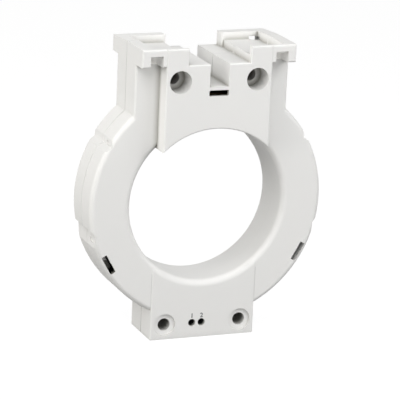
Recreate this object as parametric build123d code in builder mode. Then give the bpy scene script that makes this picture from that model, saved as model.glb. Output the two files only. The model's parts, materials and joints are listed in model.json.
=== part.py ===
from build123d import *
import os
from math import cos, radians, sin, tan

os.makedirs("parts", exist_ok=True)

# Frame: X to the right, Y to the back, Z up, in millimetres. The origin is on the axis of
# the cable opening, in the plane where the two half shells meet.

# Ring
bore_r = 40.0
ring_wide = 21.0
ring_depth = 27.0
rim_round = 2.5
bore_round = 3.0
bore_back_round = 2.0
wall = 1.6
bore_wall = 1.8
face_wall = 2.0
parting_groove = 0.2

# Flats round the rim for the clip-on feet: an upper and a lower one on each side
upper_flat_in = 10.5
upper_flat_z = 30.4
upper_flat_slope = 30.0
lower_flat_in = 3.5
lower_flat_z = -13.6
lower_flat_slope = 43.0
clip_pocket_high = 2.4
clip_pocket_deep = 0.7
clip_pocket_long = 6.0
clip_pocket_drop = 1.8

# Tower above the ring, with the gap between its ears
tower_half = 40.0
tower_rise = 19.5
shelf_drop = 8.2
ear_high = 9.0
ear_inner_x = 16.0
gap_half = 5.0
roof_wall = 1.2
tower_round = 1.2

# Raised panels, front and back
panel_half = 27.5
front_rise = 9.5
back_rise = 7.5
panel_round = 0.8
ear_set_back = 0.3
ear_round = 1.0

# Trays in the ears, and the channels under them for the clip-on feet
tray_deep = 4.5
tray_rim = 6.0
tray_front_wall = 2.2
tray_back_bar = 7.5
bar_overhang = 1.2
bar_root = 1.5
bar_end_round = 1.0
ear_fall = 1.2
channel_in = 7.5
channel_width = 6.4
channel_roof = 1.0
mouth_rise = 1.2
front_mouth_long = 7.7
back_mouth_long = 10.7

# Base below the ring
base_half = 27.5
base_drop = 8.5
base_rise = 0.2
base_round = 0.5
pad_in_gap = 0.1

# Fixing holes, on a rectangle, with seats for the screw heads
hole_span_x = 40.0
upper_hole_rise = 3.0
lower_hole_drop = 1.0
hole_r = 3.2
seat_r = 5.7
seat_depth = 1.5
low_seat_depth = 1.2
boss_wall = 1.5

# Snap windows in the front, and the hooks that hold the two half shells together
snap_angles = (90.0, -29.5, -150.5)
window_long = 10.2
window_wide = 2.9
window_round = 0.6
hook_long = 8.8
hook_thick = 1.5
barb_high = 1.1
barb_long = 2.4
barb_gap = 0.2
barb_taper = 12
catch_thick = 1.8
catch_front_y = -4.4
fit_gap = 0.1

# Lip of the back shell that slides into the front shell beside the ring
lip_thick = 0.9
lip_high = 2.0
lip_root = 2.5
lip_inner_x = 42.0

# Ribs that centre the wound ring
rib_angles = (8.0, 172.0, -45.0, -135.0)
rib_thick = 1.4
rib_gap = 0.25

# Core, its case, the winding and what wraps and holds them
wound_in_gap = 1.4
wound_out_gap = 4.6
core_depth = 11.0
cushion_thick = 0.5
case_wall = 1.2
case_gap = 0.1
layer_gap = 0.1
winding_thick = 0.9
winding_gap_angle = 16.0
winding_round = 0.8
wrap_thick = 0.4
wrap_gap_angle = 8.0
ring_pad_wide = 8.0

# Connection board and its two screw terminals
terminal_mid_x = -2.95
terminal_pitch = 5.08
terminal_rise = 7.7
terminal_hole_r = 1.9
board_front_y = 1.0
board_thick = 1.6
board_half = 9.6
board_up = 4.6
board_down = 5.2
board_rib_x = 5.5
board_rib_thick = 1.4
clamp_rib_x = 7.4
clamp_rib_high = 3.0
terminal_body_high = 8.2
terminal_body_gap = 0.3
pole_wide = 4.0
pole_floor = 2.0
pole_deep = 6.2
pole_end_wall = 1.5
cage_wall = 0.8
cage_top_wall = 1.2
cage_deep = 3.2
cage_high = 5.5
cage_gap = 0.1
screw_r = 1.3
head_r = 1.65
head_thick = 1.6
head_above_cage = 0.9
drive_wide = 0.6
drive_deep = 0.8
pin_thick = 0.6
pin_wide = 1.4
pin_out = 1.4
pin_foot = 0.7
pin_bend_r = 0.5
slot_gap = 0.1
board_round = 0.6
wire_hole_r = 1.8
wire_hole_lead = 0.5
wire_lead_taper = 45

# Leads from the winding to the board
lead_r = 0.6
lead_start_x = 2.6
lead_start_in = 0.35
lead_side_gap = 1.2
lead_hole_x = 8.2
lead_bend_r = 1.2
lead_rise = 0.4
lead_hole_gap = 0.1

# Places worked out from the sizes above
ring_r = bore_r + ring_wide
upper_flat_x = ring_r - upper_flat_in
lower_flat_x = ring_r - lower_flat_in
tower_top = ring_r + tower_rise
shelf_z = tower_top - shelf_drop
ear_bottom_z = tower_top - ear_high
tray_floor_z = tower_top - tray_deep
channel_x = tower_half - channel_in
channel_roof_z = tray_floor_z - channel_roof
mouth_top_z = tray_floor_z + mouth_rise
base_bottom_z = -ring_r - base_drop
upper_hole_z = ring_r + upper_hole_rise
lower_hole_z = -ring_r - lower_hole_drop
ring_front_y = -ring_depth / 2
ring_back_y = ring_depth / 2
front_panel_y = ring_front_y - front_rise
back_panel_y = ring_back_y + back_rise
ear_front_y = front_panel_y + ear_set_back
base_front_y = ring_front_y - base_rise
pad_in_r = bore_r + pad_in_gap
seat_y = ring_front_y + seat_depth
low_seat_y = base_front_y + low_seat_depth
inner_front_y = ring_front_y + face_wall
inner_back_y = ring_back_y - face_wall
band_mid_r = (bore_r + ring_r) / 2
hollow_out_r = ring_r - wall
hollow_in_r = bore_r + bore_wall
tower_roof_z = ear_bottom_z - roof_wall
boss_r = seat_r + boss_wall
tray_front_y = ear_front_y + tray_front_wall
bar_front_y = back_panel_y - tray_back_bar
tray_out_x = tower_half - tray_rim
bar_end_x = ear_inner_x + (bar_root - bar_overhang) / 2
window_mid_r = hollow_out_r - window_wide / 2
barb_out_r = hollow_out_r - barb_gap
hook_out_r = barb_out_r - barb_high
hook_mid_r = hook_out_r - hook_thick / 2
catch_in_r = hook_out_r + fit_gap
barb_back_y = catch_front_y - fit_gap
hook_tip_y = barb_back_y - barb_long
catch_out_r = hollow_out_r + wall / 2
ring_root_y = inner_back_y + face_wall / 2
panel_root_y = back_panel_y - face_wall / 2
hook_roots = (panel_root_y, ring_root_y, ring_root_y)
upper_holes = [(side * hole_span_x / 2, upper_hole_z) for side in (1, -1)]
lower_holes = [(side * hole_span_x / 2, lower_hole_z) for side in (1, -1)]

wound_layers = wrap_thick + winding_thick + 2 * layer_gap + case_wall + case_gap
core_in_r = hollow_in_r + wound_in_gap + wound_layers
core_out_r = hollow_out_r - wound_out_gap - wound_layers
case_in_r = core_in_r - case_gap - case_wall
case_out_r = core_out_r + case_gap + case_wall
core_half = core_depth / 2
case_floor_y = core_half + cushion_thick
case_half = case_floor_y + case_wall
winding_in_r = case_in_r - layer_gap - winding_thick
winding_out_r = case_out_r + layer_gap + winding_thick
winding_half = case_half + layer_gap + winding_thick
wrap_in_r = winding_in_r - layer_gap - wrap_thick
wrap_out_r = winding_out_r + layer_gap + wrap_thick
wrap_half = winding_half + layer_gap + wrap_thick
wound_mid_r = (case_in_r + case_out_r) / 2
rib_in_r = wrap_out_r + rib_gap
rib_out_r = ring_r - wall / 2
rib_mid_r = (rib_in_r + rib_out_r) / 2
rib_front_y = -lip_high - fit_gap

terminal_places = [terminal_mid_x - terminal_pitch / 2, terminal_mid_x + terminal_pitch / 2]
terminal_z = base_bottom_z + terminal_rise
terminal_low_z = terminal_z - terminal_body_high / 2
terminal_high_z = terminal_z + terminal_body_high / 2
terminal_front_y = inner_front_y + terminal_body_gap
board_back_y = board_front_y + board_thick
pole_back_y = board_front_y - pole_floor
pole_front_y = pole_back_y - pole_deep
pole_end_z = terminal_high_z - pole_end_wall
cage_front_y = pole_front_y + cage_gap
cage_back_y = cage_front_y + cage_high
cage_half_x = pole_wide / 2 - cage_gap
cage_low_z = terminal_z - cage_deep / 2
window_front_y = cage_front_y + cage_top_wall
window_back_y = cage_back_y - cage_wall
screw_tip_y = window_front_y
plate_front_y = screw_tip_y + fit_gap
plate_back_y = plate_front_y + pin_thick
head_back_y = cage_front_y - head_above_cage
head_front_y = head_back_y - head_thick
leg_high_z = pole_end_z - cage_gap
leg_low_z = leg_high_z - pin_thick
leg_mid_z = (leg_high_z + leg_low_z) / 2
wire_hole_y = (plate_back_y + window_back_y) / 2
board_top_z = terminal_z + board_up
board_bottom_z = terminal_z - board_down
board_mid_z = (board_top_z + board_bottom_z) / 2
board_high = board_top_z - board_bottom_z
clamp_back_y = board_front_y - fit_gap
lead_y = board_back_y + lead_bend_r + lead_rise
lead_start_r = winding_out_r - lead_start_in
lead_side_z = -wrap_out_r - lead_side_gap
lead_places = [terminal_mid_x - lead_hole_x, terminal_mid_x + lead_hole_x]
terminal_screws = [(x, terminal_z) for x in terminal_places]
wire_holes = [(x, wire_hole_y) for x in terminal_places]
clamp_ribs = [
    (terminal_mid_x + side * clamp_rib_x, board_bottom_z + clamp_rib_high / 2) for side in (1, -1)
]
board_ribs = [(terminal_mid_x + side * board_rib_x, board_mid_z) for side in (1, -1)]


def at_depth(y):
    # Drawing plane that faces the front, at one depth. Positive extrusions run to the front.
    return Plane.XZ.offset(-y)


def at_y(shapes, y):
    # The edges or corners that lie at one depth
    return shapes.filter_by(lambda shape: abs(shape.center().Y - y) < 0.001)


def around(radius, angles):
    # Places on a circle round the bore, each turned to face outwards
    return [
        Pos(radius * cos(radians(angle)), radius * sin(radians(angle))) * Rot(0, 0, angle)
        for angle in angles
    ]


def rim_cuts(inset):
    # What the flats take from the round rim, moved in by inset for the inside of the wall
    upper_tan = tan(radians(upper_flat_slope))
    lower_tan = tan(radians(lower_flat_slope))
    upper_x = upper_flat_x - inset
    upper_z = upper_flat_z - inset * upper_tan
    lower_x = lower_flat_x - inset
    lower_z = lower_flat_z + inset * lower_tan
    with BuildSketch() as cuts:
        for side in (1, -1):
            with BuildLine():
                Polyline(
                    (side * upper_x, upper_z),
                    (side * upper_x, ring_r),
                    (side * (upper_x + ring_r), ring_r),
                    (side * (upper_x + ring_r), upper_z - ring_r * upper_tan),
                    close=True,
                )
            make_face()
            with BuildLine():
                Polyline(
                    (side * lower_x, lower_z),
                    (side * lower_x, -ring_r),
                    (side * (lower_x + ring_r), -ring_r),
                    (side * (lower_x + ring_r), lower_z + ring_r * lower_tan),
                    close=True,
                )
            make_face()
    return cuts.sketch


def parting_frame():
    # What the fine groove along the parting plane takes from the outside of a half shell
    inset = parting_groove
    with BuildSketch() as frame:
        Rectangle(4 * ring_r, 4 * ring_r)
        with BuildSketch(mode=Mode.SUBTRACT):
            Circle(ring_r - inset)
            add(rim_cuts(inset), mode=Mode.SUBTRACT)
            with Locations((0, (tower_top - inset) / 2)):
                Rectangle(2 * (tower_half - inset), tower_top - inset)
            with Locations((0, base_bottom_z / 2 + inset / 2)):
                Rectangle(2 * (base_half - inset), -base_bottom_z - inset)
            with Locations((0, (shelf_z - inset + tower_top) / 2)):
                Rectangle(2 * (ear_inner_x + inset), tower_top - shelf_z + inset, mode=Mode.SUBTRACT)
            with Locations((0, (ring_r - inset + tower_top) / 2)):
                Rectangle(2 * (gap_half + inset), tower_top - ring_r + inset, mode=Mode.SUBTRACT)
    return frame.sketch


def gap_walls():
    # Block that keeps the walls and floor of the gap between the ears
    with BuildSketch() as walls:
        with Locations((0, (hollow_out_r + tower_top) / 2)):
            Rectangle(2 * (gap_half + wall), tower_top - hollow_out_r)
    return walls.sketch


def ring_hollow():
    # Inside of a half shell: ring, tower and base, with the bosses left standing
    with BuildSketch() as hollow:
        Circle(hollow_out_r)
        add(rim_cuts(wall), mode=Mode.SUBTRACT)
        with Locations((0, tower_roof_z / 2)):
            Rectangle(2 * (tower_half - wall), tower_roof_z)
        with Locations((0, (base_bottom_z + wall) / 2)):
            Rectangle(2 * (base_half - wall), -base_bottom_z - wall)
        Circle(hollow_in_r, mode=Mode.SUBTRACT)
        add(gap_walls(), mode=Mode.SUBTRACT)
        with Locations(*upper_holes, *lower_holes):
            Circle(boss_r, mode=Mode.SUBTRACT)
    return hollow.sketch


def panel_hollow():
    # Inside of a raised panel, which opens into the ring and the tower behind it
    with BuildSketch() as hollow:
        with Locations((0, tower_roof_z / 2)):
            Rectangle(2 * (panel_half - wall), tower_roof_z)
        Circle(hollow_in_r, mode=Mode.SUBTRACT)
        add(gap_walls(), mode=Mode.SUBTRACT)
        with Locations(*upper_holes):
            Circle(boss_r, mode=Mode.SUBTRACT)
    return hollow.sketch


def ring_half(face_y, bore_edge):
    # Half of the ring, from the parting plane to one face, with its flats
    with BuildPart() as ring:
        with BuildSketch():
            with Locations(((bore_r + ring_r) / 2, face_y / 2)):
                Rectangle(ring_r - bore_r, abs(face_y))
            fillet(at_y(vertices(), face_y).sort_by(Axis.X)[0], bore_edge)
            fillet(at_y(vertices(), face_y).sort_by(Axis.X)[-1], rim_round)
        revolve(axis=Axis.Y)
        with BuildSketch(at_depth(0)):
            add(rim_cuts(0))
        extrude(amount=-face_y, mode=Mode.SUBTRACT)
    return ring.part


def tower_half_form(face_y):
    # Column that carries the ears, with rounded corners on its face
    with BuildPart() as tower:
        with BuildSketch(at_depth(0)):
            with Locations((0, ear_bottom_z / 2)):
                Rectangle(2 * tower_half, ear_bottom_z)
            Circle(band_mid_r, mode=Mode.SUBTRACT)
        extrude(amount=-face_y)
        fillet(at_y(edges().filter_by(Axis.Z), face_y), tower_round)
    return tower.part


def raised_panel(panel_y):
    # Panel from the edge of the bore up to the tops of the ears
    with BuildPart() as panel:
        with BuildSketch(at_depth(0)):
            with Locations((0, tower_top / 2)):
                Rectangle(2 * panel_half, tower_top)
            Circle(bore_r, mode=Mode.SUBTRACT)
            with Locations((0, (shelf_z + tower_top) / 2)):
                Rectangle(2 * ear_inner_x, tower_top - shelf_z, mode=Mode.SUBTRACT)
        extrude(amount=-panel_y)
        fillet(at_y(edges(), panel_y), panel_round)
    return panel.part


def ear_blanks(ear_y):
    # Both ears from the parting plane to their face, before trays and channels are cut
    with BuildPart() as ears:
        with BuildSketch(at_depth(0)):
            for side in (1, -1):
                with Locations(
                    (side * (ear_inner_x + tower_half) / 2, (ear_bottom_z + tower_top) / 2)
                ):
                    Rectangle(tower_half - ear_inner_x, tower_top - ear_bottom_z)
        extrude(amount=-ear_y)
        fillet(at_y(edges(), ear_y), ear_round)
    return ears.part


def tray_plan(y_low, y_high):
    # Plan of both trays, open towards the middle
    with BuildSketch() as plan:
        for side in (1, -1):
            with Locations((side * tray_out_x / 2, (y_low + y_high) / 2)):
                Rectangle(tray_out_x, y_high - y_low)
    return plan.sketch


def channel_plan(y_low, y_high):
    # Plan of both channels between two depths
    with BuildSketch() as plan:
        for side in (1, -1):
            with Locations((side * channel_x, (y_low + y_high) / 2)):
                Rectangle(channel_width, y_high - y_low)
    return plan.sketch


def mouth_plan(open_y, inward, long):
    # Plan of the open ends of the channels, with round inner ends
    end_y = open_y + inward * (long - channel_width / 2)
    with BuildSketch() as plan:
        add(channel_plan(min(open_y, end_y), max(open_y, end_y)))
        with Locations((channel_x, end_y), (-channel_x, end_y)):
            Circle(channel_width / 2)
    return plan.sketch


# Pad that carries the front of the base up to the rounded edge of the bore
with BuildPart() as base_pad:
    with BuildSketch():
        with Locations(((pad_in_r + band_mid_r) / 2, base_front_y / 2)):
            Rectangle(band_mid_r - pad_in_r, -base_front_y)
        fillet(at_y(vertices(), base_front_y).sort_by(Axis.X)[0], bore_round + base_rise)
    revolve(axis=Axis.Y)
    with BuildSketch(at_depth(0)):
        with Locations((0, -band_mid_r / 2)):
            Rectangle(2 * base_half, band_mid_r)
    extrude(amount=-base_front_y, mode=Mode.INTERSECT)

# Front of the base, a little proud of the ring
with BuildPart() as front_base:
    with BuildSketch(at_depth(0)):
        with Locations((0, base_bottom_z / 2)):
            Rectangle(2 * base_half, -base_bottom_z)
        Circle(band_mid_r, mode=Mode.SUBTRACT)
    extrude(amount=-base_front_y)
    add(base_pad.part)
    fillet(at_y(edges().filter_by(Axis.Z), base_front_y), base_round)

with BuildPart() as front_shell:
    add(ring_half(ring_front_y, bore_round))
    add(tower_half_form(ring_front_y))
    add(front_base.part)
    add(ear_blanks(ear_front_y))
    add(raised_panel(front_panel_y))
    # Gap between the ears, down to the top of the ring
    with BuildSketch(at_depth(0)):
        with Locations((0, (ring_r + tower_top) / 2)):
            Rectangle(2 * gap_half, tower_top - ring_r)
    extrude(amount=-front_panel_y, mode=Mode.SUBTRACT)
    with BuildSketch(at_depth(0)):
        add(parting_frame())
    extrude(amount=parting_groove, mode=Mode.SUBTRACT)
    # Hollow, open at the parting plane
    with BuildSketch(at_depth(0)):
        add(ring_hollow())
    extrude(amount=-inner_front_y, mode=Mode.SUBTRACT)
    with BuildSketch(at_depth(0)):
        add(panel_hollow())
    extrude(amount=-front_panel_y - face_wall, mode=Mode.SUBTRACT)
    # Trays in the ears and channels under them
    with BuildSketch(Plane.XY.offset(tray_floor_z)):
        add(tray_plan(tray_front_y, 0))
    extrude(amount=tower_top - tray_floor_z, mode=Mode.SUBTRACT)
    with BuildSketch(Plane.XY.offset(ear_bottom_z)):
        add(channel_plan(front_panel_y, 0))
    extrude(amount=channel_roof_z - ear_bottom_z, mode=Mode.SUBTRACT)
    with BuildSketch(Plane.XY.offset(ear_bottom_z)):
        add(mouth_plan(front_panel_y, 1, front_mouth_long))
    extrude(amount=mouth_top_z - ear_bottom_z, mode=Mode.SUBTRACT)
    # Seats and holes for the four fixing screws
    with BuildSketch(at_depth(seat_y)):
        with Locations(*upper_holes):
            Circle(seat_r)
    extrude(amount=seat_y - front_panel_y, mode=Mode.SUBTRACT)
    with BuildSketch(at_depth(low_seat_y)):
        with Locations(*lower_holes):
            Circle(seat_r)
    extrude(amount=low_seat_depth, mode=Mode.SUBTRACT)
    with BuildSketch(at_depth(0)):
        with Locations(*upper_holes, *lower_holes):
            Circle(hole_r)
    extrude(amount=-front_panel_y, mode=Mode.SUBTRACT)
    # Snap windows, and the catches behind them
    with BuildSketch(at_depth(inner_front_y)):
        with Locations(*around(window_mid_r, snap_angles[1:])):
            RectangleRounded(window_wide, window_long, window_round)
    extrude(amount=face_wall, mode=Mode.SUBTRACT)
    with BuildSketch(at_depth(front_panel_y + face_wall)):
        with Locations(*around(window_mid_r, snap_angles[:1])):
            RectangleRounded(window_wide, window_long, window_round)
    extrude(amount=face_wall, mode=Mode.SUBTRACT)
    with BuildSketch(at_depth(catch_front_y + catch_thick)):
        with Locations(*around((catch_in_r + catch_out_r) / 2, snap_angles)):
            Rectangle(catch_out_r - catch_in_r, hook_long)
    extrude(amount=catch_thick)
    # Ribs that centre the wound ring, and ribs that clamp the connection board
    with BuildSketch(at_depth(rib_front_y)):
        with Locations(*around(rib_mid_r, rib_angles)):
            Rectangle(rib_out_r - rib_in_r, rib_thick)
    extrude(amount=rib_front_y - inner_front_y + face_wall / 2)
    with BuildSketch(at_depth(clamp_back_y)):
        with Locations(*clamp_ribs):
            Rectangle(board_rib_thick, clamp_rib_high)
    extrude(amount=clamp_back_y - inner_front_y + face_wall / 2)
    # Holes over the terminal screws, and wire holes under the terminals
    with BuildSketch(at_depth(inner_front_y)):
        with Locations(*terminal_screws):
            Circle(terminal_hole_r)
    extrude(amount=inner_front_y - base_front_y, mode=Mode.SUBTRACT)
    with BuildSketch(Plane.XY.offset(base_bottom_z)):
        with Locations(*wire_holes):
            Circle(wire_hole_r)
    extrude(amount=wall, mode=Mode.SUBTRACT)
    with BuildSketch(Plane.XY.offset(base_bottom_z)):
        with Locations(*wire_holes):
            Circle(wire_hole_r + wire_hole_lead)
    extrude(amount=wire_hole_lead, taper=wire_lead_taper, mode=Mode.SUBTRACT)
    # Shallow pockets in the flats, near the front, for the clips of the feet
    with BuildSketch(at_depth(ring_front_y + rim_round + clip_pocket_long)):
        for side in (1, -1):
            with Locations(
                (side * upper_flat_x, upper_flat_z + clip_pocket_high / 2),
                (side * lower_flat_x, lower_flat_z - clip_pocket_drop - clip_pocket_high / 2),
            ):
                Rectangle(2 * clip_pocket_deep, clip_pocket_high)
    extrude(amount=clip_pocket_long, mode=Mode.SUBTRACT)
front_shell.part.label = "front_shell"
export_step(front_shell.part, "parts/front_shell.step")

# Inner ends of the back bars, which reach a little past the ears
with BuildPart() as bar_ends:
    with BuildSketch(Plane.XY.offset(shelf_z)):
        for side in (1, -1):
            with Locations((side * bar_end_x, (bar_front_y + back_panel_y) / 2)):
                Rectangle(bar_overhang + bar_root, tray_back_bar)
    extrude(amount=tower_top - shelf_z)
    inner_edges = edges().filter_by(Axis.Z).filter_by(lambda edge: abs(edge.center().X) < ear_inner_x)
    fillet(inner_edges, bar_end_round)

with BuildPart() as back_shell:
    add(ring_half(ring_back_y, bore_back_round))
    add(tower_half_form(ring_back_y))
    with BuildSketch(at_depth(0)):
        with Locations((0, base_bottom_z / 2)):
            Rectangle(2 * base_half, -base_bottom_z)
        Circle(band_mid_r, mode=Mode.SUBTRACT)
    extrude(amount=-ring_back_y)
    add(ear_blanks(back_panel_y))
    add(raised_panel(back_panel_y))
    add(bar_ends.part)
    # Gap between the ears, down to the top of the ring
    with BuildSketch(at_depth(0)):
        with Locations((0, (ring_r + tower_top) / 2)):
            Rectangle(2 * gap_half, tower_top - ring_r)
    extrude(amount=-back_panel_y, mode=Mode.SUBTRACT)
    # The tops of the ears fall a little towards the back
    with BuildSketch(Plane.YZ):
        with BuildLine():
            Polyline(
                (0, tower_top),
                (back_panel_y, tower_top - ear_fall),
                (back_panel_y, tower_top),
                close=True,
            )
        make_face()
    extrude(amount=tower_half, both=True, mode=Mode.SUBTRACT)
    with BuildSketch(at_depth(0)):
        add(parting_frame())
    extrude(amount=-parting_groove, mode=Mode.SUBTRACT)
    # Hollow, open at the parting plane
    with BuildSketch(at_depth(0)):
        add(ring_hollow())
    extrude(amount=-inner_back_y, mode=Mode.SUBTRACT)
    with BuildSketch(at_depth(0)):
        add(panel_hollow())
    extrude(amount=-back_panel_y + face_wall, mode=Mode.SUBTRACT)
    # Trays in the ears and channels under them
    with BuildSketch(Plane.XY.offset(tray_floor_z)):
        add(tray_plan(0, bar_front_y))
    extrude(amount=tower_top - tray_floor_z, mode=Mode.SUBTRACT)
    with BuildSketch(Plane.XY.offset(ear_bottom_z)):
        add(channel_plan(0, back_panel_y))
    extrude(amount=channel_roof_z - ear_bottom_z, mode=Mode.SUBTRACT)
    with BuildSketch(Plane.XY.offset(ear_bottom_z)):
        add(mouth_plan(back_panel_y, -1, back_mouth_long))
    extrude(amount=mouth_top_z - ear_bottom_z, mode=Mode.SUBTRACT)
    # Holes for the four fixing screws
    with BuildSketch(at_depth(0)):
        with Locations(*upper_holes, *lower_holes):
            Circle(hole_r)
    extrude(amount=-back_panel_y, mode=Mode.SUBTRACT)
    # Lip that slides into the front shell on both sides of the ring
    with BuildSketch(at_depth(lip_root)):
        Circle(hollow_out_r + wall / 2)
        add(rim_cuts(wall / 2), mode=Mode.SUBTRACT)
        Circle(hollow_out_r - fit_gap - lip_thick, mode=Mode.SUBTRACT)
        Rectangle(2 * lip_inner_x, 2 * ring_r, mode=Mode.SUBTRACT)
    extrude(amount=lip_root)
    with BuildSketch(at_depth(0)):
        Circle(hollow_out_r - fit_gap)
        add(rim_cuts(wall + fit_gap), mode=Mode.SUBTRACT)
        Circle(hollow_out_r - fit_gap - lip_thick, mode=Mode.SUBTRACT)
        Rectangle(2 * lip_inner_x, 2 * ring_r, mode=Mode.SUBTRACT)
    extrude(amount=lip_high)
    # Hooks, with barbs that hold behind the catches; the top one stands on the raised panel
    for angle, root_y in zip(snap_angles, hook_roots):
        with BuildSketch(at_depth(root_y)):
            with Locations(*around(hook_mid_r, [angle])):
                Rectangle(hook_thick, hook_long)
        extrude(amount=root_y - hook_tip_y)
    with BuildSketch(at_depth(barb_back_y)):
        with Locations(*around((hook_mid_r + barb_out_r) / 2, snap_angles)):
            Rectangle(barb_out_r - hook_mid_r, hook_long)
    extrude(amount=barb_long, taper=barb_taper)
    # Ribs that centre the wound ring, and ribs behind the connection board
    with BuildSketch(at_depth(ring_root_y)):
        with Locations(*around(rib_mid_r, rib_angles)):
            Rectangle(rib_out_r - rib_in_r, rib_thick)
    extrude(amount=ring_root_y - parting_groove)
    with BuildSketch(at_depth(ring_root_y)):
        with Locations(*board_ribs):
            Rectangle(board_rib_thick, board_high)
    extrude(amount=ring_root_y - board_back_y)
back_shell.part.label = "back_shell"
export_step(back_shell.part, "parts/back_shell.step")

# Core, wound from thin magnetic strip
with BuildPart() as core:
    with BuildSketch():
        with Locations(((core_in_r + core_out_r) / 2, 0)):
            Rectangle(core_out_r - core_in_r, core_depth)
    revolve(axis=Axis.Y)
core.part.label = "core"
export_step(core.part, "parts/core.step")

# Soft rings at both ends of the core
with BuildPart() as core_cushion_front:
    with BuildSketch(at_depth(-core_half)):
        Circle(core_out_r)
        Circle(core_in_r, mode=Mode.SUBTRACT)
    extrude(amount=cushion_thick)
core_cushion_front.part.label = "core_cushion_front"
export_step(core_cushion_front.part, "parts/core_cushion_front.step")

with BuildPart() as core_cushion_back:
    with BuildSketch(at_depth(case_floor_y)):
        Circle(core_out_r)
        Circle(core_in_r, mode=Mode.SUBTRACT)
    extrude(amount=cushion_thick)
core_cushion_back.part.label = "core_cushion_back"
export_step(core_cushion_back.part, "parts/core_cushion_back.step")

# Ring trough that the core lies in, and its lid
with BuildPart() as core_case:
    with BuildSketch(at_depth(case_half)):
        Circle(case_out_r)
        Circle(case_in_r, mode=Mode.SUBTRACT)
    extrude(amount=case_half + case_floor_y)
    with BuildSketch(at_depth(case_floor_y)):
        Circle(case_out_r - case_wall)
        Circle(case_in_r + case_wall, mode=Mode.SUBTRACT)
    extrude(amount=2 * case_floor_y, mode=Mode.SUBTRACT)
core_case.part.label = "core_case"
export_step(core_case.part, "parts/core_case.step")

with BuildPart() as core_case_lid:
    with BuildSketch(at_depth(-case_floor_y)):
        Circle(case_out_r)
        Circle(case_in_r, mode=Mode.SUBTRACT)
    extrude(amount=case_wall)
core_case_lid.part.label = "core_case_lid"
export_step(core_case_lid.part, "parts/core_case_lid.step")

# Winding, laid round the case except for a short gap at the bottom
with BuildPart() as winding:
    with BuildSketch(Plane.XY.rotated((0, 90 + winding_gap_angle / 2, 0))):
        with Locations((wound_mid_r, 0)):
            RectangleRounded(winding_out_r - winding_in_r, 2 * winding_half, winding_round)
            Rectangle(
                case_out_r - case_in_r + 2 * layer_gap,
                2 * (case_half + layer_gap),
                mode=Mode.SUBTRACT,
            )
    revolve(axis=Axis.Y, revolution_arc=360 - winding_gap_angle)
winding.part.label = "winding"
export_step(winding.part, "parts/winding.step")

# Tape round the winding, open where the leads come out
with BuildPart() as winding_wrap:
    with BuildSketch(Plane.XY.rotated((0, 90 + wrap_gap_angle / 2, 0))):
        with Locations((wound_mid_r, 0)):
            RectangleRounded(wrap_out_r - wrap_in_r, 2 * wrap_half, winding_round)
            RectangleRounded(
                wrap_out_r - wrap_in_r - 2 * wrap_thick,
                2 * (wrap_half - wrap_thick),
                winding_round - wrap_thick,
                mode=Mode.SUBTRACT,
            )
    revolve(axis=Axis.Y, revolution_arc=360 - wrap_gap_angle)
winding_wrap.part.label = "winding_wrap"
export_step(winding_wrap.part, "parts/winding_wrap.step")

# Foam rings that hold the wound ring between the two half shells
with BuildPart() as ring_pad_front:
    with BuildSketch(at_depth(-wrap_half)):
        Circle(wound_mid_r + ring_pad_wide / 2)
        Circle(wound_mid_r - ring_pad_wide / 2, mode=Mode.SUBTRACT)
    extrude(amount=-inner_front_y - wrap_half)
ring_pad_front.part.label = "ring_pad_front"
export_step(ring_pad_front.part, "parts/ring_pad_front.step")

with BuildPart() as ring_pad_back:
    with BuildSketch(at_depth(inner_back_y)):
        Circle(wound_mid_r + ring_pad_wide / 2)
        Circle(wound_mid_r - ring_pad_wide / 2, mode=Mode.SUBTRACT)
    extrude(amount=inner_back_y - wrap_half)
ring_pad_back.part.label = "ring_pad_back"
export_step(ring_pad_back.part, "parts/ring_pad_back.step")

# Board between the leads and the terminals
with BuildPart() as connection_board:
    with BuildSketch(at_depth(board_back_y)):
        with Locations((terminal_mid_x, board_mid_z)):
            RectangleRounded(2 * board_half, board_high, board_round)
        with Locations(*[(x, leg_mid_z) for x in terminal_places]):
            Rectangle(pin_wide + 2 * slot_gap, pin_thick + 2 * slot_gap, mode=Mode.SUBTRACT)
        with Locations(*[(x, terminal_z) for x in lead_places]):
            Circle(lead_r + lead_hole_gap, mode=Mode.SUBTRACT)
    extrude(amount=board_thick)
connection_board.part.label = "connection_board"
export_step(connection_board.part, "parts/connection_board.step")

# Terminal body with a screw shaft and a wire chamber for each pole
with BuildPart() as terminal_body:
    with BuildSketch(at_depth(board_front_y)):
        with Locations((terminal_mid_x, terminal_z)):
            Rectangle(2 * terminal_pitch, terminal_body_high)
    extrude(amount=board_front_y - terminal_front_y)
    with BuildSketch(at_depth(pole_back_y)):
        with Locations(*[(x, (terminal_low_z + pole_end_z) / 2) for x in terminal_places]):
            Rectangle(pole_wide, pole_end_z - terminal_low_z)
    extrude(amount=pole_deep, mode=Mode.SUBTRACT)
    with BuildSketch(at_depth(pole_front_y)):
        with Locations(*terminal_screws):
            Circle(head_r + slot_gap)
    extrude(amount=pole_front_y - terminal_front_y, mode=Mode.SUBTRACT)
    with BuildSketch(at_depth(board_front_y)):
        with Locations(*[(x, leg_mid_z) for x in terminal_places]):
            Rectangle(pin_wide + 2 * slot_gap, pin_thick + 2 * slot_gap)
    extrude(amount=pole_floor, mode=Mode.SUBTRACT)
terminal_body.part.label = "terminal_body"
export_step(terminal_body.part, "parts/terminal_body.step")


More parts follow.
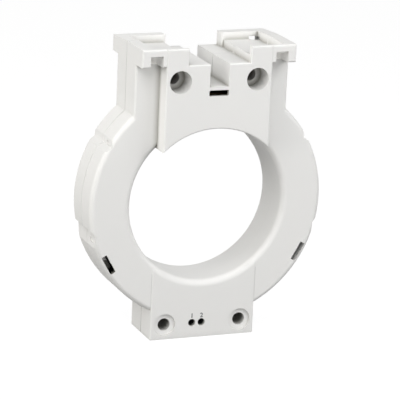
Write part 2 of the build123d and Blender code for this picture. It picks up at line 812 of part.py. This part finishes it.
def wire_clamp(x):
    # Cage that the screw draws up, so that the wire is held against the contact plate
    with BuildPart() as clamp:
        with BuildSketch(at_depth(cage_back_y)):
            with Locations((x, terminal_z)):
                Rectangle(2 * cage_half_x, cage_deep)
        extrude(amount=cage_high)
        with BuildSketch(Plane.XY.offset(cage_low_z)):
            with Locations((x, (window_front_y + window_back_y) / 2)):
                Rectangle(2 * (cage_half_x - cage_wall), window_back_y - window_front_y)
        extrude(amount=cage_deep, mode=Mode.SUBTRACT)
        with BuildSketch(at_depth(window_front_y)):
            with Locations((x, terminal_z)):
                Circle(screw_r)
        extrude(amount=cage_top_wall, mode=Mode.SUBTRACT)
    return clamp.part


def clamp_screw(x):
    # Slotted screw, with the slot along X
    with BuildPart() as screw:
        with BuildSketch(at_depth(screw_tip_y)):
            with Locations((x, terminal_z)):
                Circle(screw_r)
        extrude(amount=screw_tip_y - head_back_y)
        with BuildSketch(at_depth(head_back_y)):
            with Locations((x, terminal_z)):
                Circle(head_r)
        extrude(amount=head_thick)
        with BuildSketch(at_depth(head_front_y + drive_deep)):
            with Locations((x, terminal_z)):
                Rectangle(2 * head_r, drive_wide)
        extrude(amount=drive_deep, mode=Mode.SUBTRACT)
    return screw.part


def contact_pin(x):
    # Contact plate in the wire chamber, bent to a leg that runs back through the board
    with BuildPart() as pin:
        with BuildSketch(Plane.YZ.offset(x - pin_wide / 2)):
            with BuildLine():
                Polyline(
                    (plate_front_y, terminal_low_z + pin_foot),
                    (plate_front_y, leg_high_z),
                    (board_back_y + pin_out, leg_high_z),
                    (board_back_y + pin_out, leg_low_z),
                    (plate_back_y, leg_low_z),
                    (plate_back_y, terminal_low_z + pin_foot),
                    close=True,
                )
            make_face()
            fillet(vertices().sort_by(Axis.Y)[:2].sort_by(Axis.Z)[-1], pin_bend_r)
        extrude(amount=pin_wide)
    return pin.part


def lead(side):
    # Lead from the gap in the winding, round the board rib and through the board
    start_z = -lead_start_r
    hole_x = terminal_mid_x + side * lead_hole_x
    with BuildPart() as wire:
        with BuildLine() as run:
            FilletPolyline(
                (side * lead_start_x, lead_y, start_z),
                (side * lead_start_x, lead_y, lead_side_z),
                (hole_x, lead_y, lead_side_z),
                (hole_x, lead_y, terminal_z),
                (hole_x, board_front_y - lead_rise, terminal_z),
                radius=lead_bend_r,
            )
        with BuildSketch(Plane(origin=run.line @ 0, z_dir=run.line % 0)):
            Circle(lead_r)
        sweep()
    return wire.part


for number, x in enumerate(terminal_places, 1):
    clamp_piece = wire_clamp(x)
    clamp_piece.label = "wire_clamp_%d" % number
    export_step(clamp_piece, "parts/wire_clamp_%d.step" % number)
    screw_piece = clamp_screw(x)
    screw_piece.label = "clamp_screw_%d" % number
    export_step(screw_piece, "parts/clamp_screw_%d.step" % number)
    pin_piece = contact_pin(x)
    pin_piece.label = "contact_pin_%d" % number
    export_step(pin_piece, "parts/contact_pin_%d.step" % number)

for number, side in ((1, -1), (2, 1)):
    lead_piece = lead(side)
    lead_piece.label = "lead_%d" % number
    export_step(lead_piece, "parts/lead_%d.step" % number)
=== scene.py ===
import json
import math

import bpy
from mathutils import Matrix, Vector


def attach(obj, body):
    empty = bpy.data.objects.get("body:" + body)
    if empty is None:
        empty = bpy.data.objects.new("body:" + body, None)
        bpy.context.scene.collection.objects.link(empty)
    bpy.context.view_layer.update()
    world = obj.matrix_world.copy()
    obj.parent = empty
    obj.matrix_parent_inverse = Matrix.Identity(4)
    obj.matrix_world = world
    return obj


mm = 0.001  # the scene is in metres, the sizes below are in millimetres
white = (1.0, 1.0, 1.0, 1.0)

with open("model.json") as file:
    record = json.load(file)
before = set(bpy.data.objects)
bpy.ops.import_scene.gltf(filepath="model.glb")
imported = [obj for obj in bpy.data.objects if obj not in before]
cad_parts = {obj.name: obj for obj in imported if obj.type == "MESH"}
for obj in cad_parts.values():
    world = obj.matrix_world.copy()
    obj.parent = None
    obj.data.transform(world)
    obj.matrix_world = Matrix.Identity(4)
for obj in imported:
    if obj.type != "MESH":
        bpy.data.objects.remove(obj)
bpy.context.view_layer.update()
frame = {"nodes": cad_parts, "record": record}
nodes = frame["nodes"]
print("frame loaded,", len(nodes), "nodes")


def fromHex(code):
    # sRGB hex to the linear colour that the shader takes
    def toLinear(value):
        return value / 12.92 if value <= 0.04045 else ((value + 0.055) / 1.055) ** 2.4

    return tuple(toLinear(int(code[at:at + 2], 16) / 255) for at in (0, 2, 4)) + (1.0,)


def perMm(size):
    # texture scale at which one cell of a pattern is this many millimetres
    return 1 / (size * mm)


def addNode(tree, kind, values=None):
    # a value is a plain one, or the output of another node, which is then linked
    node = tree.nodes.new(kind)
    for name, value in (values or {}).items():
        if isinstance(value, bpy.types.NodeSocket):
            tree.links.new(value, node.inputs[name])
        elif isinstance(name, int) or name in node.inputs:
            node.inputs[name].default_value = value
        else:
            setattr(node, name, value)
    return node


def calculate(tree, operation, *terms):
    return addNode(tree, "ShaderNodeMath", {"operation": operation, **dict(enumerate(terms))}).outputs[0]


def remap(tree, value, low, high, toLow=0.0, toHigh=1.0):
    return addNode(tree, "ShaderNodeMapRange", {"Value": value, "From Min": low, "From Max": high,
                                                "To Min": toLow, "To Max": toHigh}).outputs[0]


def blend(tree, first, second, factor):
    # sockets 6 and 7 are the mix node's two colours
    return addNode(tree, "ShaderNodeMix", {"data_type": "RGBA", 0: factor, 6: first, 7: second}).outputs[2]


def multiply(tree, first, second):
    return addNode(tree, "ShaderNodeMix", {"data_type": "RGBA", "blend_type": "MULTIPLY",
                                           0: 1.0, 6: first, 7: second}).outputs[2]


def objectPlace(tree):
    return addNode(tree, "ShaderNodeTexCoord").outputs["Object"]


def noise(tree, size, detail=2.0):
    return addNode(tree, "ShaderNodeTexNoise", {"Scale": perMm(size), "Detail": detail,
                                                "Vector": objectPlace(tree)}).outputs[0]


def raised(tree, height, strength, rise):
    # normal of a pattern that stands out by this many millimetres
    return addNode(tree, "ShaderNodeBump", {"Strength": strength, "Distance": rise * mm,
                                            "Height": height}).outputs[0]


def openness(tree, reach, samples):
    # 1 on an open face, less where other faces stand within this many millimetres
    return addNode(tree, "ShaderNodeAmbientOcclusion", {"samples": samples,
                                                        "Distance": reach * mm}).outputs["AO"]


def aroundBore(tree, steps):
    # rises by one at each of so many equal steps round the bore
    turned = addNode(tree, "ShaderNodeMapping", {"Rotation": (math.pi / 2, 0.0, 0.0),
                                                 "Vector": objectPlace(tree)})
    angle = addNode(tree, "ShaderNodeTexGradient", {"gradient_type": "RADIAL", "Vector": turned.outputs[0]})
    return calculate(tree, "MULTIPLY", angle.outputs["Fac"], steps)


def newMaterial(name):
    made = bpy.data.materials.new(name)
    made.use_nodes = True
    made.node_tree.nodes.clear()
    return made, made.node_tree


def finishMaterial(tree, shader):
    addNode(tree, "ShaderNodeOutputMaterial", {"Surface": shader.outputs[0]})


def finishPrincipled(tree, values):
    finishMaterial(tree, addNode(tree, "ShaderNodeBsdfPrincipled", values))


# near-white moulded polymer of the two half shells: satin, with the fine grain of a spark-eroded mould, painted
# shade in its corners and holes and painted light in its ear channels
housing = {
    "colour": "EAE9E7",
    "coolColour": "E8E8E6",
    "cloudSize": 26.0,
    "cloudDetail": 3.0,
    "smoothest": 0.56,
    "roughest": 0.65,
    "ior": 1.52,
    "grainSize": 0.45,         # the real grain is about 0.05 mm, drawn coarser so that it shows
    "grainStrength": 0.35,
    "grainRise": 0.02,
    "seamHalf": 0.11,          # dark hairline where the two half shells meet
    "seamShade": 0.95,
    "baseLineX": 27.6,         # painted shade: dark hairlines where the base stands proud of the ring
    "baseLineHalf": 0.16,
    "baseLineTop": -35.0,
    "baseFrontY": -13.3,
    "baseLineShade": 0.84,
    "rimX": 44.0,              # further out the clip pockets are shallow and, like the rim, get no painted shade
    "grooveHalf": 0.5,         # the fine groove of the parting line gets no painted corner shade, and neither do the shallow seats of the foot
    "footTop": -54.0,          # and so do the shallow seats of the foot
    # painted shade in tight corners, darker and warmer
    "creaseReach": 3.6,
    "creaseFrom": 0.5,
    "creaseTo": 0.95,
    "creaseShadeColour": "D6D5D1",
    "cavityReach": 9.0,        # painted shade: the wall of a hole is painted darker when it is this deep
    "cavityFrom": 0.12,
    "cavityTo": 0.55,
    "cavityShadeColour": "7C7B74",
    "windowX": -40.0,          # painted shade: the hook's end in the left snap window is painted darker still
    "windowTop": -28.0,
    "windowBackY": -2.0,
    "windowShadeLoss": 0.45,
    "earFrom": 70.5,           # from here up the ear channels are open at both ends and get less painted shade
    "earTo": 71.0,
    "earOpen": 0.65,
    "earPaintedGlow": 0.55,           # painted light: the channel walls glow, standing in for daylight through their thin walls, less towards the back
    "glowFrom": -12.0,
    "glowTo": 6.0,
    "samples": 12,
}


def mouldedWhite():
    made, tree = newMaterial("mouldedWhitePolymer")
    x, y, z = addNode(tree, "ShaderNodeSeparateXYZ", {0: objectPlace(tree)}).outputs
    side = calculate(tree, "ABSOLUTE", x)
    depth = calculate(tree, "ABSOLUTE", y)
    cloud = noise(tree, housing["cloudSize"], housing["cloudDetail"])
    tone = blend(tree, fromHex(housing["colour"]), fromHex(housing["coolColour"]), cloud)

    # hairline at the parting plane
    seam = remap(tree, depth, housing["seamHalf"] * mm / 2, housing["seamHalf"] * mm, housing["seamShade"], 1.0)
    tone = multiply(tree, tone, seam)

    # painted shade: dark hairlines at both sides of the base, where it stands proud of the ring
    atSide = calculate(tree, "COMPARE", side, housing["baseLineX"] * mm, housing["baseLineHalf"] * mm)
    inFront = calculate(tree, "LESS_THAN", y, housing["baseFrontY"] * mm)
    below = calculate(tree, "LESS_THAN", z, housing["baseLineTop"] * mm)
    onBaseShadeLine = calculate(tree, "MULTIPLY", calculate(tree, "MULTIPLY", atSide, inFront), below)
    tone = multiply(tree, tone, remap(tree, onBaseShadeLine, 0.0, 1.0, 1.0, housing["baseLineShade"]))

    # painted shade: tight corners are painted a little darker and warmer
    inRim = calculate(tree, "GREATER_THAN", side, housing["rimX"] * mm)
    inGroove = calculate(tree, "LESS_THAN", depth, housing["grooveHalf"] * mm)
    inFoot = calculate(tree, "LESS_THAN", z, housing["footTop"] * mm)
    spared = calculate(tree, "MAXIMUM", calculate(tree, "MAXIMUM", inGroove, inFoot), inRim)
    flat = remap(tree, openness(tree, housing["creaseReach"], housing["samples"]),
                 housing["creaseFrom"], housing["creaseTo"])
    plain = calculate(tree, "MAXIMUM", spared, flat)
    tone = multiply(tree, tone, blend(tree, fromHex(housing["creaseShadeColour"]), white, plain))

    # painted shade: deep holes are painted darker still, most of all in the left snap window
    outLeft = calculate(tree, "LESS_THAN", x, housing["windowX"] * mm)
    underTop = calculate(tree, "LESS_THAN", z, housing["windowTop"] * mm)
    nearFront = calculate(tree, "LESS_THAN", y, housing["windowBackY"] * mm)
    inWindow = calculate(tree, "MULTIPLY", calculate(tree, "MULTIPLY", outLeft, underTop), nearFront)
    loss = calculate(tree, "MULTIPLY", inWindow, housing["windowShadeLoss"])
    opening = calculate(tree, "SUBTRACT", openness(tree, housing["cavityReach"], housing["samples"]), loss)
    reached = remap(tree, opening, housing["cavityFrom"], housing["cavityTo"])
    inEar = remap(tree, z, housing["earFrom"] * mm, housing["earTo"] * mm, 0.0, housing["earOpen"])
    pale = calculate(tree, "MAXIMUM", inEar, calculate(tree, "SUBTRACT", inRim, inWindow))
    light = calculate(tree, "MAXIMUM", reached, pale)
    tone = multiply(tree, tone, blend(tree, fromHex(housing["cavityShadeColour"]), white, light))

    # painted light: the shaded walls of the ear channels glow, less towards the back
    hidden = calculate(tree, "SUBTRACT", 1.0, reached)
    fade = remap(tree, y, housing["glowFrom"] * mm, housing["glowTo"] * mm, housing["earPaintedGlow"], 0.0)
    glow = calculate(tree, "MULTIPLY", calculate(tree, "MULTIPLY", hidden, inEar), fade)

    grain = noise(tree, housing["grainSize"])
    finishPrincipled(tree, {
        "Base Color": tone,
        "Roughness": remap(tree, grain, 0.0, 1.0, housing["smoothest"], housing["roughest"]),
        "IOR": housing["ior"],
        "Normal": raised(tree, grain, housing["grainStrength"], housing["grainRise"]),
        "Emission Color": fromHex(housing["colour"]),
        "Emission Strength": glow,
    })
    return made


# black moulded polymer of the core's case and of the terminal body: dull, with a soft sheen on its edges
blackPolymer = {
    "colour": "17181A",
    "paleColour": "212224",
    "roughness": 0.5,
    "ior": 1.5,
    "grainSize": 0.4,
    "grainStrength": 0.4,
    "grainRise": 0.03,
}


def mouldedBlack():
    made, tree = newMaterial("mouldedBlackPolymer")
    grain = noise(tree, blackPolymer["grainSize"])
    finishPrincipled(tree, {
        "Base Color": blend(tree, fromHex(blackPolymer["colour"]), fromHex(blackPolymer["paleColour"]), grain),
        "Roughness": blackPolymer["roughness"],
        "IOR": blackPolymer["ior"],
        "Normal": raised(tree, grain, blackPolymer["grainStrength"], blackPolymer["grainRise"]),
    })
    return made


# closed-cell foam: matt, dark grey, with round open cells on its cut faces
foam = {
    "colour": "2B2C2E",
    "cellColour": "141415",
    "roughness": 0.92,
    "ior": 1.45,
    "cellSize": 0.9,
    "cellStrength": 0.7,
    "cellRise": 0.2,
}


def cutFoam():
    made, tree = newMaterial("closedCellFoam")
    cells = addNode(tree, "ShaderNodeTexVoronoi", {"Scale": perMm(foam["cellSize"]),
                                                   "Vector": objectPlace(tree)}).outputs["Distance"]
    finishPrincipled(tree, {
        "Base Color": blend(tree, fromHex(foam["cellColour"]), fromHex(foam["colour"]), cells),
        "Roughness": foam["roughness"],
        "IOR": foam["ior"],
        "Normal": raised(tree, cells, foam["cellStrength"], foam["cellRise"]),
    })
    return made


# nickel-iron strip wound edge to edge: grey metal with fine rings on its ends
strip = {
    "colour": "A8A49C",
    "edgeColour": "7D7A74",
    "roughness": 0.38,
    "layer": 0.3,              # the real strip is 0.05 to 0.1 mm, drawn coarser so that it shows
    "waveUnits": 20.0,         # radians of the wave texture in one unit of length
    "distortion": 0.3,
    "detail": 1.0,
    "layerStrength": 0.5,
    "layerRise": 0.05,
}


def woundStrip():
    made, tree = newMaterial("woundNickelIron")
    layers = addNode(tree, "ShaderNodeTexWave", {
        "wave_type": "RINGS",
        "rings_direction": "Y",
        "Scale": perMm(strip["layer"]) * 2 * math.pi / strip["waveUnits"],
        "Distortion": strip["distortion"],
        "Detail": strip["detail"],
        "Vector": objectPlace(tree),
    }).outputs["Fac"]
    finishPrincipled(tree, {
        "Base Color": blend(tree, fromHex(strip["edgeColour"]), fromHex(strip["colour"]), layers),
        "Metallic": 1.0,
        "Roughness": strip["roughness"],
        "Normal": raised(tree, layers, strip["layerStrength"], strip["layerRise"]),
    })
    return made


# enamelled copper wire, turn beside turn: warm brown-red metal under a clear enamel
wire = {
    "colour": "B8622F",
    "gapColour": "54230F",
    "turns": 420.0,
    "metallic": 0.9,
    "roughness": 0.3,
    "enamel": 0.6,
    "enamelRoughness": 0.15,
    "turnStrength": 0.8,
    "turnRise": 0.3,
}


def enamelledCopper():
    made, tree = newMaterial("enamelledCopper")
    turn = calculate(tree, "PINGPONG", aroundBore(tree, wire["turns"]), 0.5)
    finishPrincipled(tree, {
        "Base Color": blend(tree, fromHex(wire["gapColour"]), fromHex(wire["colour"]), turn),
        "Metallic": wire["metallic"],
        "Roughness": wire["roughness"],
        "Coat Weight": wire["enamel"],
        "Coat Roughness": wire["enamelRoughness"],
        "Normal": raised(tree, turn, wire["turnStrength"], wire["turnRise"]),
    })
    return made


# amber polyester tape, half lapped round the winding: a slight gloss, a fine step at each lap, and painted
# shade where the housing closes it in
tape = {
    "colour": "CF9C33",
    "lapColour": "B98426",
    "laps": 48.0,
    "roughness": 0.34,
    "ior": 1.58,
    "lapStrength": 0.6,
    "lapRise": 0.2,
    "shadeColour": "1E1C18",   # painted shade: the tape is painted dark where the housing closes it in
    "shadeReach": 14.0,
    "shadeFrom": 0.3,
    "shadeTo": 0.95,
    "samples": 8,
}


def lappedTape():
    made, tree = newMaterial("lappedPolyesterTape")
    lap = calculate(tree, "FRACT", aroundBore(tree, tape["laps"]))
    amber = blend(tree, fromHex(tape["colour"]), fromHex(tape["lapColour"]), lap)
    # painted shade where other faces close the tape in
    lit = remap(tree, openness(tree, tape["shadeReach"], tape["samples"]), tape["shadeFrom"], tape["shadeTo"])
    finishPrincipled(tree, {
        "Base Color": blend(tree, fromHex(tape["shadeColour"]), amber, lit),
        "Roughness": tape["roughness"],
        "IOR": tape["ior"],
        "Normal": raised(tree, lap, tape["lapStrength"], tape["lapRise"]),
    })
    return made


# glass-fibre laminate under green lacquer: satin, with the weave just showing
laminate = {
    "colour": "1F5A33",
    "weaveColour": "2A6E3F",
    "roughness": 0.4,
    "lacquer": 0.4,
    "ior": 1.5,
    "thread": 0.5,
    "weaveStrength": 0.2,
    "weaveRise": 0.02,
}


def lacqueredLaminate():
    made, tree = newMaterial("lacqueredLaminate")
    weave = addNode(tree, "ShaderNodeTexChecker", {
        "Scale": perMm(laminate["thread"]),
        "Color1": fromHex(laminate["colour"]),
        "Color2": fromHex(laminate["weaveColour"]),
        "Vector": objectPlace(tree),
    })
    finishPrincipled(tree, {
        "Base Color": weave.outputs["Color"],
        "Roughness": laminate["roughness"],
        "Coat Weight": laminate["lacquer"],
        "IOR": laminate["ior"],
        "Normal": raised(tree, weave.outputs["Fac"], laminate["weaveStrength"], laminate["weaveRise"]),
    })
    return made


# turned and zinc-plated steel: pale grey metal with faint tool marks
zincSteel = {
    "colour": "C2C4C6",
    "darkColour": "9B9DA0",
    "smoothest": 0.24,
    "roughest": 0.42,
    "toolMark": 0.25,
    "markDetail": 3.0,
    "markStrength": 0.3,
    "markRise": 0.02,
}
# the terminal screws, passivated black: a dark metal that shows only a soft glint
blackSteel = {**zincSteel, "colour": "232325", "darkColour": "141415"}


def platedSteel(name, look):
    made, tree = newMaterial(name)
    marks = noise(tree, look["toolMark"], look["markDetail"])
    finishPrincipled(tree, {
        "Base Color": blend(tree, fromHex(look["darkColour"]), fromHex(look["colour"]), marks),
        "Metallic": 1.0,
        "Roughness": remap(tree, marks, 0.0, 1.0, look["smoothest"], look["roughest"]),
        "Normal": raised(tree, marks, look["markStrength"], look["markRise"]),
    })
    return made


# tinned brass strip: soft grey metal with a warm cast
pinMetal = {
    "colour": "BDB7A4",
    "warmColour": "A89A6C",
    "roughness": 0.34,
    "patch": 1.2,
    "patchDetail": 4.0,
    "patchStrength": 0.25,
    "patchRise": 0.02,
}


def tinnedBrass():
    made, tree = newMaterial("tinnedBrass")
    patches = noise(tree, pinMetal["patch"], pinMetal["patchDetail"])
    finishPrincipled(tree, {
        "Base Color": blend(tree, fromHex(pinMetal["colour"]), fromHex(pinMetal["warmColour"]), patches),
        "Metallic": 1.0,
        "Roughness": pinMetal["roughness"],
        "Normal": raised(tree, patches, pinMetal["patchStrength"], pinMetal["patchRise"]),
    })
    return made


# soft PVC insulation on the two leads: ivory, slightly glossy
sleeve = {
    "colour": "DAD8CF",
    "shadeColour": "CFCDC2",
    "roughness": 0.36,
    "ior": 1.53,
    "cloudSize": 2.0,
    "cloudStrength": 0.1,
    "cloudRise": 0.03,
}


def pvcInsulation():
    made, tree = newMaterial("pvcInsulation")
    cloud = noise(tree, sleeve["cloudSize"])
    finishPrincipled(tree, {
        "Base Color": blend(tree, fromHex(sleeve["colour"]), fromHex(sleeve["shadeColour"]), cloud),
        "Roughness": sleeve["roughness"],
        "IOR": sleeve["ior"],
        "Normal": raised(tree, cloud, sleeve["cloudStrength"], sleeve["cloudRise"]),
    })
    return made


slotMaterials = {
    "housing": mouldedWhite(),
    "core_case": mouldedBlack(),
    "soft_foam": cutFoam(),
    "magnetic_strip": woundStrip(),
    "copper_wire": enamelledCopper(),
    "polyester_tape": lappedTape(),
    "circuit_board": lacqueredLaminate(),
    "plated_steel": platedSteel("zincPlatedSteel", zincSteel),
    "tinned_brass": tinnedBrass(),
    "lead_sleeve": pvcInsulation(),
}
slotMaterials["terminal_plastic"] = slotMaterials["core_case"]
screwMaterial = platedSteel("blackPassivatedSteel", blackSteel)

for part in frame["record"]["subparts"]:
    isScrew = part["node"].startswith("clamp_screw")
    for slot in nodes[part["node"]].material_slots:
        slot.material = screwMaterial if isScrew else slotMaterials[part["material_slot"]]


# plain numerals printed in grey over the two terminals
numerals = {
    "marks": (("1", -5.49), ("2", -0.41)),     # numeral, X of its middle
    "baseZ": -59.3,
    "frontY": -13.7,
    "height": 3.3,
    "bolder": 0.085,
    "inkRise": 0.03,
    "ink": "66676A",
    "paleInk": "7C7D80",
    "speckSize": 0.3,
    "roughness": 0.6,
    "ior": 1.5,
}


def printedInk():
    made, tree = newMaterial("greyPadPrintInk")
    specks = noise(tree, numerals["speckSize"])
    finishPrincipled(tree, {
        "Base Color": blend(tree, fromHex(numerals["ink"]), fromHex(numerals["paleInk"]), specks),
        "Roughness": numerals["roughness"],
        "IOR": numerals["ior"],
    })
    return made


def printNumeral(mark, middleX, material):
    letters = bpy.data.curves.new("terminalNumber" + mark, "FONT")
    letters.body = mark
    letters.size = numerals["height"] * mm
    letters.extrude = numerals["inkRise"] * mm / 2
    letters.offset = numerals["bolder"] * mm
    letters.align_x = "CENTER"
    drawn = bpy.data.objects.new("drawn" + mark, letters)
    bpy.context.scene.collection.objects.link(drawn)
    bpy.context.view_layer.update()
    mesh = bpy.data.meshes.new_from_object(drawn.evaluated_get(bpy.context.evaluated_depsgraph_get()))
    bpy.data.objects.remove(drawn)
    place = Vector((middleX, numerals["frontY"] - numerals["inkRise"] / 2, numerals["baseZ"])) * mm
    mesh.transform(Matrix.Translation(place) @ Matrix.Rotation(math.pi / 2, 4, "X"))
    mesh.materials.clear()
    mesh.materials.append(material)
    piece = bpy.data.objects.new("terminal_number_" + mark, mesh)
    bpy.context.scene.collection.objects.link(piece)
    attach(piece, "root")


inkMaterial = printedInk()
for mark, middleX in numerals["marks"]:
    printNumeral(mark, middleX, inkMaterial)
print("numerals printed")


# floor and light
studio = {
    "floorZ": -69.5,
    "floorWide": 30000.0,
    "floorGlow": 0.9,          # share of white that the camera sees in the floor without any lamp
    "floorColour": "6E6E6E",
    "worldLight": 0.35,
    "worldSeen": 0.955,        # the white of the far floor, so that no horizon shows in low views
    "lamps": (                 # name, place in metres, size in metres, watts, colour
        ("front", (0.0, -2.2, 0.2), 1.6, 14.8, "FFFFFF"),
        ("leftLow", (-1.6, -0.3, 0.1), 1.4, 20.0, "FFFDF8"),
        ("topLeft", (-0.42, -0.45, 0.6), 0.5, 2.1, "FFFFFF"),
        ("topRight", (0.5, -0.55, 0.55), 0.5, 3.8, "FFFFFF"),
        ("leftUp", (-0.6, 0.05, 0.6), 0.5, 1.1, "FFFFFF"),
        ("back", (0.5, 2.4, 0.0), 0.8, 14.0, "FFFFFF"),
    ),
}


def glowingFloor():
    made, tree = newMaterial("paleStudioFloor")
    rays = addNode(tree, "ShaderNodeLightPath").outputs
    seenOrMirrored = calculate(tree, "MAXIMUM", rays["Is Camera Ray"], rays["Is Glossy Ray"])
    seen = calculate(tree, "MAXIMUM", seenOrMirrored, rays["Is Transmission Ray"])
    glow = calculate(tree, "MULTIPLY", seen, studio["floorGlow"])
    paint = addNode(tree, "ShaderNodeBsdfDiffuse", {"Color": fromHex(studio["floorColour"])})
    lit = addNode(tree, "ShaderNodeEmission", {"Color": white, "Strength": glow})
    finishMaterial(tree, addNode(tree, "ShaderNodeAddShader", {0: paint.outputs[0], 1: lit.outputs[0]}))
    return made


def layFloor():
    half = studio["floorWide"] * mm / 2
    low = studio["floorZ"] * mm
    mesh = bpy.data.meshes.new("paleFloor")
    mesh.from_pydata([(-half, -half, low), (half, -half, low), (half, half, low), (-half, half, low)], [],
                     [(0, 1, 2, 3)])
    mesh.materials.append(glowingFloor())
    floor = bpy.data.objects.new("paleFloor", mesh)
    bpy.context.scene.collection.objects.link(floor)


def softRoom():
    world = bpy.data.worlds.new("softRoom")
    world.use_nodes = True
    tree = world.node_tree
    tree.nodes.clear()
    rays = addNode(tree, "ShaderNodeLightPath").outputs
    seen = calculate(tree, "MAXIMUM", rays["Is Camera Ray"], rays["Is Transmission Ray"])
    strength = remap(tree, seen, 0.0, 1.0, studio["worldLight"], studio["worldSeen"])
    room = addNode(tree, "ShaderNodeBackground", {"Color": white, "Strength": strength})
    addNode(tree, "ShaderNodeOutputWorld", {"Surface": room.outputs[0]})
    bpy.context.scene.world = world


def softLamp(name, place, size, power, colour):
    lamp = bpy.data.lights.new(name + "Softbox", "AREA")
    lamp.shape = "SQUARE"
    lamp.size = size
    lamp.energy = power
    lamp.color = fromHex(colour)[:3]
    holder = bpy.data.objects.new(name + "Softbox", lamp)
    holder.location = place
    holder.rotation_euler = (-Vector(place)).to_track_quat("-Z", "Y").to_euler()
    bpy.context.scene.collection.objects.link(holder)


layFloor()
softRoom()
for lampRow in studio["lamps"]:
    softLamp(*lampRow)
print("floor and lamps placed")


# camera, found from pixels of the photograph
shot = {
    "yaw": 21.724,
    "pitch": 15.683,
    "roll": 2.489,
    "target": (-3.813, -13.5, 1.712),
    "distance": 1271.4,
    "focalPixels": 2577.65,
    "framePixels": 400,
    "sensorWide": 36.0,
    "farthest": 100000.0,
}

yaw, pitch, roll = (math.radians(shot[name]) for name in ("yaw", "pitch", "roll"))
forward = Vector((math.sin(yaw) * math.cos(pitch), math.cos(yaw) * math.cos(pitch), -math.sin(pitch)))
across = Vector((math.cos(yaw), -math.sin(yaw), 0.0))
upward = across.cross(forward)
right = math.cos(roll) * across + math.sin(roll) * upward
up = -math.sin(roll) * across + math.cos(roll) * upward

cameraData = bpy.data.cameras.new("photoCamera")
cameraData.sensor_width = shot["sensorWide"]
cameraData.lens = shot["focalPixels"] * shot["sensorWide"] / shot["framePixels"]
cameraData.clip_end = shot["farthest"] * mm
camera = bpy.data.objects.new("photoCamera", cameraData)
turn = Matrix((right, up, -forward)).transposed().to_4x4()
camera.matrix_world = Matrix.Translation((Vector(shot["target"]) - shot["distance"] * forward) * mm) @ turn
bpy.context.scene.collection.objects.link(camera)
bpy.context.scene.camera = camera
bpy.context.scene.view_settings.view_transform = "Standard"
print("camera placed")
